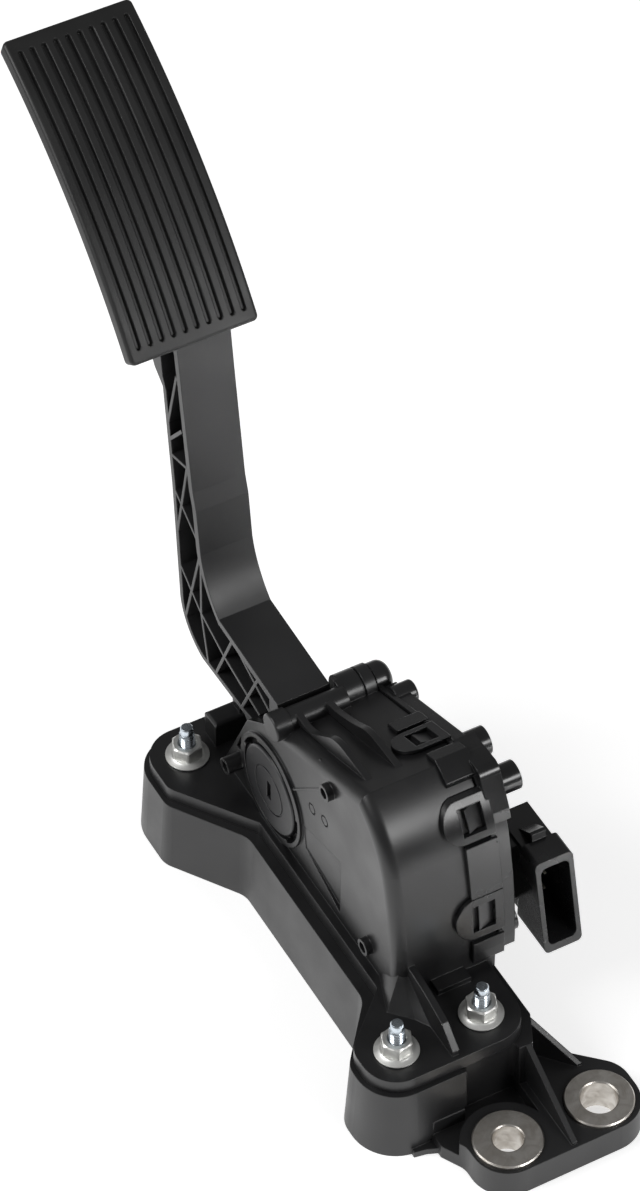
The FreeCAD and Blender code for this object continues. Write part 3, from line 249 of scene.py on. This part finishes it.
stud_low, stud_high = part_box("mounting_studs")
stud_head = 11.5 * MM / 2
stud_radius = 6.0 * MM / 2
thread_pitch = 1.0 * MM
thread_depth = 0.54 * MM
dog_length = 3.4 * MM
dog_radius = 2.5 * MM
head_height = 3.0 * MM
plain_shank = 3.0 * MM
stud_chamfer = 0.4 * MM
run_out = 0.5 * MM
stud_places = [(stud_low.x + stud_head, stud_low.y + stud_head, 0.0),
               (stud_high.x - stud_head, stud_low.y + stud_head, 0.0),
               (stud_low.x + stud_head, stud_high.y - stud_head, 0.0)]


def stud_rings(around=40, per_turn=10):
    """Lathe profile of head, shank and dog point. On the thread the radius also follows a rounded
    triangle wave of height less turn, which winds it into a helix, and fades in and out at its ends."""
    dog_foot = stud_high.z - dog_length
    shoulder = stud_low.z + head_height
    thread_low = shoulder + plain_shank
    thread_rows = int((dog_foot - thread_low) / thread_pitch * per_turn)
    threads = np.linspace(thread_low, dog_foot - run_out, thread_rows)
    height = np.concatenate([[stud_low.z, stud_low.z, shoulder, shoulder], threads,
                             [dog_foot, stud_high.z - run_out, stud_high.z]])
    radius = np.concatenate([[stud_head - stud_chamfer, stud_head, stud_head, stud_radius],
                             np.full(len(threads), stud_radius),
                             [dog_radius, dog_radius, dog_radius - stud_chamfer]])
    turn = np.linspace(0, 2 * np.pi, around, endpoint=False)
    phase = (height[:, None] / thread_pitch - turn[None] / (2 * np.pi)) % 1.0
    valley = np.clip(1.15 - 2.3 * np.abs(phase - 0.5), 0.0, 1.0)
    to_end = np.minimum(height - thread_low, dog_foot - stud_chamfer - height)
    fade = np.clip(to_end / thread_pitch, 0.0, 1.0)
    r = radius[:, None] - thread_depth * valley * fade[:, None]
    level = np.broadcast_to(height[:, None], r.shape)
    return np.stack([r * np.cos(turn), r * np.sin(turn), level], axis=-1)


bright_zinc = plated_steel("bright_zinc_plate", "#d3dae0", "#aeb8c2", 1.5, 0.2, 0.1)
studs = group_piece("threaded_studs", *ring_mesh(stud_rings(), "poles"), stud_places, "pedal_frame",
                    bright_zinc, 40)
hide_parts("mounting_studs")


# Flange nuts: forged hexagons with a bell flange, tapped M6 and dull zinc plated.
# The forging rounds the crown off between the corners, and the bell runs out to a thin rim.
nut_low, nut_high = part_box("flange_nuts")
nut_flats = 11.0 * MM
nut_corner = nut_flats / math.sqrt(3)
nut_rim = 17.0 * MM / 2
nut_lip = 0.8 * MM
nut_bell = 1.0 * MM
nut_bore = stud_radius + 0.05 * MM
nut_turn = math.radians(8.0)
mouth_chamfer = 0.7 * MM
seat_round = 0.3 * MM
crown_slope = 2.2


def nut_rings(around=72):
    """Closed loop of rings from the bore over the crown and down to the seat. At each height the
    radius is the hexagon's, cut by the crown's cone, or the bell's where that is larger."""
    height = nut_high.z - nut_low.z
    bell_top = nut_lip + nut_bell
    step = np.concatenate([np.linspace(height, bell_top * 1.05, 12), np.linspace(bell_top, nut_lip, 8)])
    turn = np.linspace(0, 2 * np.pi, around, endpoint=False)
    side = (turn - nut_turn) % (np.pi / 3) - np.pi / 6
    hexagon = nut_flats / 2 / np.cos(side)
    crown = nut_flats / 2 - 0.2 * MM + (height - step[:, None]) * crown_slope
    flare = np.clip((bell_top - step[:, None]) / nut_bell, 0.0, 1.0) ** 1.3
    bell = np.where(step[:, None] > bell_top, 0.0, nut_corner + (nut_rim - nut_corner) * flare)
    outer = np.maximum(np.minimum(hexagon[None], crown), bell)
    mouth = nut_bore + mouth_chamfer
    flat = np.ones((1, around))
    radius = np.vstack([nut_bore * flat, nut_bore * flat, mouth * flat, outer, nut_rim * flat,
                        (nut_rim - seat_round) * flat])
    level = np.concatenate([[0.0, height - mouth_chamfer, height], step, [seat_round, 0.0]]) + nut_low.z
    return np.stack([radius * np.cos(turn), radius * np.sin(turn),
                     np.broadcast_to(level[:, None], radius.shape)], axis=-1)[::-1]


grey_zinc = plated_steel("dull_zinc_plate", "#eeeeeb", "#dcdcd9", 2.5, 0.38, 0.12)
nuts = group_piece("flange_hex_nuts", *ring_mesh(nut_rings(), "loop"), stud_places, "pedal_frame",
                   grey_zinc, 28)
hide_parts("flange_nuts")


# Compression limiters: short steel sleeves that take the nuts' load off the plastic flange.
# They are cut from tube and oiled, so they are plain grey steel.
dress("flange_limiters", plated_steel("plain_tube_steel", "#8e8e8e", "#777777", 3.0, 0.4, 0.1))


# Pedal housing: a black glass-filled nylon casing with its flange, cross bar and hollow posts.
# It comes from a finer polished tool than the base, so it has a little more shine.
housing_nylon = moulded_plastic("glass_filled_nylon_housing", "#161617", "#29292a", 0.9, 0.014, 0.34)
dress("pedal_housing", housing_nylon)


# Sensor cover: the same nylon with less glass, so its skin is smoother and brighter at the edges.
# It snaps over the housing with three windowed tongues and carries the connector shell.
cover_nylon = moulded_plastic("nylon_cover", "#151516", "#2c2c2d", 0.9, 0.008, 0.24)
dress("sensor_cover", cover_nylon)


# Cover seal: a moulded rubber ring squeezed in the groove between housing and cover.
# Rubber is dull and faintly dusty.
dress("cover_seal", moulded_plastic("moulded_rubber", "#141414", "#1d1d1d", 0.6, 0.01, 0.75))


# Circuit board and Hall sensors: green glass-epoxy laminate with two moulded epoxy chips.
# The laminate's cloth shows as a faint square weave.
def laminate(name):
    """Solder-masked laminate: two crossed waves, a thread apart, give the weave under the mask."""
    material, tree, place = new_material(name)
    thread_mm = 0.6
    threads = [put(tree, "ShaderNodeTexWave", {"Vector": place, "Scale": WAVE_PERIOD / (thread_mm * MM)},
                   bands_direction=direction).outputs["Fac"] for direction in ("Y", "Z")]
    weave = put(tree, "ShaderNodeMath", {0: threads[0], 1: threads[1]}, operation="MULTIPLY")
    skin = put(tree, "ShaderNodeMix", {"Factor": weave.outputs["Value"]}, data_type="RGBA")
    skin.inputs["A"].default_value = linear("#14512f")
    skin.inputs["B"].default_value = linear("#1d6a3e")
    shader = put(tree, "ShaderNodeBsdfPrincipled", {"Base Color": skin.outputs["Result"],
                                                    "Roughness": 0.35})
    finish_material(tree, shader)
    return material


dress("circuit_board", laminate("glass_epoxy_laminate"))
dress("hall_sensors", moulded_plastic("chip_epoxy", "#1a1a1b", "#242425", 0.3, 0.004, 0.55))


# Connector terminals: stamped brass, tin plated, pushed through the cover into the socket.
# Tin is pale and soft, with a dull rolled surface.
dress("connector_terminals", plated_steel("tinned_brass", "#cfcbc2", "#b3aea2", 1.2, 0.28, 0.1))


# Pivot axle: black acetal, turned by the arm, with a broad slotted head in the left wall.
# Acetal is smooth and slightly waxy. The magnet in its end is grey sintered ferrite.
dress("pivot_axle", moulded_plastic("acetal_axle", "#18181a", "#2e2e30", 0.9, 0.008, 0.36, ior=1.48))
dress("sensor_magnet", moulded_plastic("sintered_ferrite", "#2b2b2d", "#3c3c3f", 0.4, 0.01, 0.6))


# Pedal arm: one beam of glass-filled nylon, open on the left between its truss ribs.
# Its broad front face is satin, with faint flow marks along the beam.
# Its colour is a lighter copy of the base's nylon: painted light, standing in for the light on its front
# face.
lightened_arm_nylon = moulded_plastic("glass_filled_nylon_arm", "#1b1b1c", "#29292a", 0.9, 0.014, 0.46, ior=1.6)
dress("pedal_arm", lightened_arm_nylon)


# Pedal pad: moulded with a coarse leather-like stipple and ten lengthwise grooves for grip.
# It is bowed about an axis behind it, and two pegs on its back press into the arm.
pad_low, pad_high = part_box("pedal_pad")
pad_width = pad_high.x - pad_low.x
pad_middle = (pad_low.x + pad_high.x) / 2
tread_foot = np.array([228.8, 223.0]) * MM
tread_head = np.array([326.4, 302.7]) * MM
tread_sagitta = 7.6 * MM
pad_thickness = 6.0 * MM
pad_corner = 2.2 * MM
tread_round = 1.5 * MM
groove_count = 10
groove_pitch = 4.76 * MM
groove_half = 0.95 * MM
groove_depth = 1.6 * MM
groove_steepness = 1.8
groove_from_foot = 5.0 * MM
groove_from_head = 5.6 * MM
peg_radius = 3.5 * MM
peg_length = 5.0 * MM
peg_root = 1.0 * MM
peg_chamfer = 0.4 * MM
peg_middle = pad_middle + 4.6 * MM
peg_from_foot = np.array([14.0, 52.0]) * MM
tread_chord = tread_head - tread_foot
tread_span = np.hypot(*tread_chord)
bow_radius = (tread_span ** 2 / 4 + tread_sagitta ** 2) / (2 * tread_sagitta)
bow_side = np.array([tread_chord[1], -tread_chord[0]]) / tread_span
bow_axis = (tread_foot + tread_head) / 2 + bow_side * (bow_radius - tread_sagitta)
foot_turn = math.atan2(*(tread_foot - bow_axis)[::-1])
head_turn = math.atan2(*(tread_head - bow_axis)[::-1])
tread_length = bow_radius * (foot_turn - head_turn)


def on_bow(across, along, depth):
    """Points at a place across the pad, a length along the bow from the foot, and a depth below the
    tread: the length is an arc about the bow's axis."""
    turn = foot_turn - along / bow_radius
    reach = bow_radius - depth
    y = bow_axis[0] + reach * np.cos(turn)
    z = bow_axis[1] + reach * np.sin(turn)
    return np.stack([across, y, z], axis=-1)


def pad_plate():
    """Tread and back on one grid, joined round the edge. The grid's corner squares are drawn in to
    quarter circles, the tread drops by a quarter circle at the rim, and each groove is a parabola of
    the distance to its own line, cut off flat at its depth, which ends short of the foot and the head."""
    rim = np.array([0.0, 0.08, 0.22, 0.45, 0.75, 1.1, 1.6]) * MM
    near_end = np.linspace(pad_corner, 9.0 * MM, 24)
    over_grooves = np.linspace(pad_corner, pad_width - pad_corner, 164)
    plain_stretch = np.linspace(11.0 * MM, tread_length - 11.0 * MM, 44)
    across = np.concatenate([rim, over_grooves, pad_width - rim[::-1]])
    along = np.concatenate([rim, near_end, plain_stretch, tread_length - near_end[::-1],
                            tread_length - rim[::-1]])
    u, s = np.meshgrid(across - pad_width / 2, along - tread_length / 2, indexing="ij")
    inner_u = pad_width / 2 - pad_corner
    inner_s = tread_length / 2 - pad_corner
    over_u = np.maximum(np.abs(u) - inner_u, 0.0)
    over_s = np.maximum(np.abs(s) - inner_s, 0.0)
    draw_in = np.maximum(over_u, over_s) / np.maximum(np.hypot(over_u, over_s), 1e-9)
    u = np.sign(u) * (np.minimum(np.abs(u), inner_u) + over_u * draw_in)
    s = np.sign(s) * (np.minimum(np.abs(s), inner_s) + over_s * draw_in) + tread_length / 2
    outer = np.maximum(np.maximum(over_u, over_s) - pad_corner + tread_round, 0.0)
    drop = tread_round - np.sqrt(tread_round ** 2 - np.minimum(outer, tread_round) ** 2)
    lines = (np.arange(groove_count) - (groove_count - 1) / 2) * groove_pitch
    aside = np.abs(u[..., None] - lines).min(axis=-1)
    start = groove_from_foot + groove_half
    finish = tread_length - groove_from_head - groove_half
    beyond = np.maximum(np.maximum(start - s, s - finish), 0.0)
    bowl = 1 - (np.hypot(aside, beyond) / groove_half) ** 2
    dip = groove_depth * np.clip(groove_steepness * bowl, 0.0, 1.0)
    verts = np.concatenate([on_bow(pad_middle + u, s, drop + dip).reshape(-1, 3),
                            on_bow(pad_middle + u, s, pad_thickness).reshape(-1, 3)])
    index = np.arange(u.size).reshape(u.shape)
    corners = [index[:-1, :-1], index[1:, :-1], index[1:, 1:], index[:-1, 1:]]
    tread = np.stack(corners, axis=-1).reshape(-1, 4)
    loop = np.concatenate([index[0, :-1], index[:-1, -1], index[-1, :0:-1], index[:0:-1, 0]])
    onward = np.roll(loop, -1)
    sides = np.stack([loop, onward, onward + u.size, loop + u.size], axis=-1)
    return verts, np.vstack([tread, tread[:, ::-1] + u.size, sides]).tolist()


def pad_peg(from_foot, around=24):
    """Round peg square to the back: circles at a run of depths, closed at both ends."""
    turn = np.linspace(0, 2 * np.pi, around, endpoint=False)
    tip = pad_thickness + peg_length
    depth = np.array([pad_thickness - peg_root, tip - peg_chamfer, tip])
    radius = np.array([peg_radius, peg_radius, peg_radius - peg_chamfer])
    foot = on_bow(np.full(3, peg_middle), np.full(3, from_foot), depth)
    lean = foot_turn - from_foot / bow_radius
    uphill = np.array([0.0, -math.sin(lean), math.cos(lean)])
    ring = np.cos(turn)[:, None] * np.array([1.0, 0.0, 0.0]) + np.sin(turn)[:, None] * uphill
    return ring_mesh(foot[:, None] + radius[:, None, None] * ring[None], "poles")


pad_verts, pad_faces = pad_plate()
for peg_verts, peg_faces in (pad_peg(from_foot) for from_foot in peg_from_foot):
    pad_faces = pad_faces + [[i + len(pad_verts) for i in face] for face in peg_faces]
    pad_verts = np.vstack([pad_verts, peg_verts])
# The stipple scatters light, so the pad is the dullest of the black pieces.
pad_nylon = moulded_plastic("stippled_nylon_pad", "#161616", "#282828", 1.1, 0.05, 0.48)
pad = group_piece("grooved_pad", pad_verts, pad_faces, [(0.0, 0.0, 0.0)], "pedal", pad_nylon, 40)
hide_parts("pedal_pad")


# Spring seat and friction shoe: natural acetal mouldings inside the housing.
# The seat rides on the arm's lever nose, and the shoe drags on its drum.
natural_acetal = moulded_plastic("natural_acetal", "#d8d2c4", "#e4dfd3", 0.8, 0.01, 0.4, ior=1.48)
for acetal_piece in ("spring_seat", "friction_shoe"):
    dress(acetal_piece, natural_acetal)


# Return springs: two nested coils of oiled drawn wire between the seat and the shoe.
# They shorten towards the shoe as the pedal goes down, so each is made afresh with a mesh of its own.
def coil_rings(node, wire, turns, per_turn=36, around=12):
    """Circles of the wire's radius carried along a helix that fills the node's box, each square to
    the helix's own direction."""
    low, high = (np.array(corner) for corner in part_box(node))
    radius = (high[0] - low[0] - wire) / 2
    share = np.linspace(0, 1, turns * per_turn + 1)[:, None]
    turn = 2 * np.pi * turns * share
    rise = high[2] - low[2] - wire
    outward = np.hstack([np.cos(turn), np.sin(turn), np.zeros_like(turn)])
    line = (low + high) / 2 + radius * outward + np.array([0.0, 0.0, 1.0]) * rise * (share - 0.5)
    lead = rise / (2 * np.pi * turns)
    onward = np.hstack([-radius * np.sin(turn), radius * np.cos(turn), np.full_like(turn, lead)])
    onward = onward / np.hypot(radius, lead)
    aside = np.cross(onward, outward)
    angle = np.linspace(0, 2 * np.pi, around, endpoint=False)[None, :, None]
    return line[:, None] + wire / 2 * (np.cos(angle) * outward[:, None] + np.sin(angle) * aside[:, None])


spring_wire = plated_steel("drawn_spring_steel", "#6d6d70", "#55555a", 1.0, 0.3, 0.1)
return_springs = [("outer_spring", "outer_coil", 2.4 * MM, 6, 0.55),
                  ("inner_spring", "inner_coil", 1.5 * MM, 8, 0.5)]
for spring_node, coil_name, wire_size, coil_turns, keep in return_springs:
    coil = group_piece(coil_name, *ring_mesh(coil_rings(spring_node, wire_size, coil_turns), "poles"),
                       [(0.0, 0.0, 0.0)], "pedal_frame", spring_wire, 60)
    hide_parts(spring_node)
    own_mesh(coil)


# Studio: a white paper floor in a dim room, with one soft box on the left, one in front on the right,
# and a small lamp that shines only on the floor before the part. Seen directly or in a reflection the
# paper glows a little, so it is white and still keeps the part's shadow. From below it is clear.
low_corner, high_corner = (Vector(corner) for corner in cad_box)
middle = (low_corner + high_corner) / 2
floor_half = 8.0
floor_gap = 0.2 * MM
room_light = 0.22
near_seen, far_seen = 0.55, 0.95
near_mirrored = 0.72
floor_mesh = bpy.data.meshes.new("studio_floor")
floor_mesh.from_pydata([(middle.x + sx * floor_half, middle.y + sy * floor_half, low_corner.z - floor_gap)
                        for sx, sy in ((-1, -1), (1, -1), (1, 1), (-1, 1))], [], [(0, 1, 2, 3)])
studio_floor = bpy.data.objects.new("studio_floor", floor_mesh)
bpy.context.scene.collection.objects.link(studio_floor)
floor_paper, tree, place = new_material("white_floor_paper")
away = put(tree, "ShaderNodeVectorMath", {0: place, 1: tuple(middle)}, operation="DISTANCE")
far_glow = put(tree, "ShaderNodeMapRange", {"Value": away.outputs["Value"], "From Min": 0.5, "From Max": 2.5,
                                            "To Min": near_seen, "To Max": far_seen})
near_glow = put(tree, "ShaderNodeMapRange", {"Value": away.outputs["Value"], "From Min": 0.38,
                                             "From Max": 0.5, "To Min": near_mirrored, "To Max": 0.0})
ray = put(tree, "ShaderNodeLightPath", {})
seen = put(tree, "ShaderNodeMath", {0: ray.outputs["Is Camera Ray"], 1: far_glow.outputs["Result"]},
           operation="MULTIPLY")
bounced = put(tree, "ShaderNodeMath", {0: ray.outputs["Is Glossy Ray"],
                                       1: ray.outputs["Is Transmission Ray"]}, operation="MAXIMUM")
mirrored = put(tree, "ShaderNodeMath", {0: bounced.outputs["Value"], 1: near_glow.outputs["Result"],
                                        2: seen.outputs["Value"]}, operation="MULTIPLY_ADD")
paper = put(tree, "ShaderNodeBsdfDiffuse", {"Color": linear("#f4f4f4")})
glow = put(tree, "ShaderNodeEmission", {"Strength": mirrored.outputs["Value"]})
both = put(tree, "ShaderNodeAddShader", {0: paper.outputs["BSDF"], 1: glow.outputs["Emission"]})
clear = put(tree, "ShaderNodeBsdfTransparent", {})
side = put(tree, "ShaderNodeNewGeometry", {})
shown = put(tree, "ShaderNodeMixShader", {0: side.outputs["Backfacing"], 1: both.outputs["Shader"],
                                          2: clear.outputs["BSDF"]})
put(tree, "ShaderNodeOutputMaterial", {"Surface": shown.outputs["Shader"]})
floor_mesh.materials.append(floor_paper)

world = bpy.data.worlds.new("studio_room")
world.use_nodes = True
world.node_tree.nodes["Background"].inputs["Color"].default_value = linear("#ffffff")
world.node_tree.nodes["Background"].inputs["Strength"].default_value = room_light
bpy.context.scene.world = world


def soft_box(name, azimuth_deg, elevation_deg, distance, width, height, radiance, target=middle,
             spread_deg=180.0):
    """Area lamp of a given radiance, aimed at a target: its power is radiance times pi times area."""
    turn, rise = math.radians(azimuth_deg), math.radians(elevation_deg)
    back = Vector((math.sin(turn) * math.cos(rise), -math.cos(turn) * math.cos(rise), math.sin(rise)))
    lamp = bpy.data.lights.new(name, "AREA")
    lamp.shape = "RECTANGLE"
    lamp.size = width
    lamp.size_y = height
    lamp.energy = radiance * math.pi * width * height
    lamp.spread = math.radians(spread_deg)
    holder = bpy.data.objects.new(name, lamp)
    aim = back.to_track_quat("Z", "Y").to_matrix().to_4x4()
    holder.matrix_world = Matrix.Translation(target + back * distance) @ aim
    bpy.context.scene.collection.objects.link(holder)


soft_box("left_soft_box", -102.0, 38.0, 1.6, 1.0, 0.8, 6.0)
soft_box("front_soft_box", 23.0, 26.0, 1.8, 0.7, 0.55, 10.0)
lit_floor = Vector((0.21, -0.19, low_corner.z))
soft_box("floor_lamp", 0.0, 90.0, 0.4, 0.15, 0.15, 8.0, lit_floor, 30.0)


# Camera: a long lens above the bushes and to their left, as in the photograph.
# Its place and focal length were fitted to the studs, bushes, disc and pad edges seen there.
camera_place = Vector((-594.2, -939.5, 1484.6)) * MM
camera_azimuth = math.radians(-28.786)
camera_elevation = math.radians(46.818)
focal_pixels = 5037.4
image_height = 1191
lens = bpy.data.cameras.new("photo_camera")
lens.sensor_width = 36.0
lens.lens = focal_pixels / image_height * lens.sensor_width
lens.clip_end = 20.0
camera = bpy.data.objects.new("photo_camera", lens)
camera.matrix_world = (Matrix.Translation(camera_place) @ Matrix.Rotation(camera_azimuth, 4, "Z")
                       @ Matrix.Rotation(math.pi / 2 - camera_elevation, 4, "X"))
bpy.context.scene.collection.objects.link(camera)
bpy.context.scene.camera = camera
bpy.context.scene.view_settings.view_transform = "Standard"
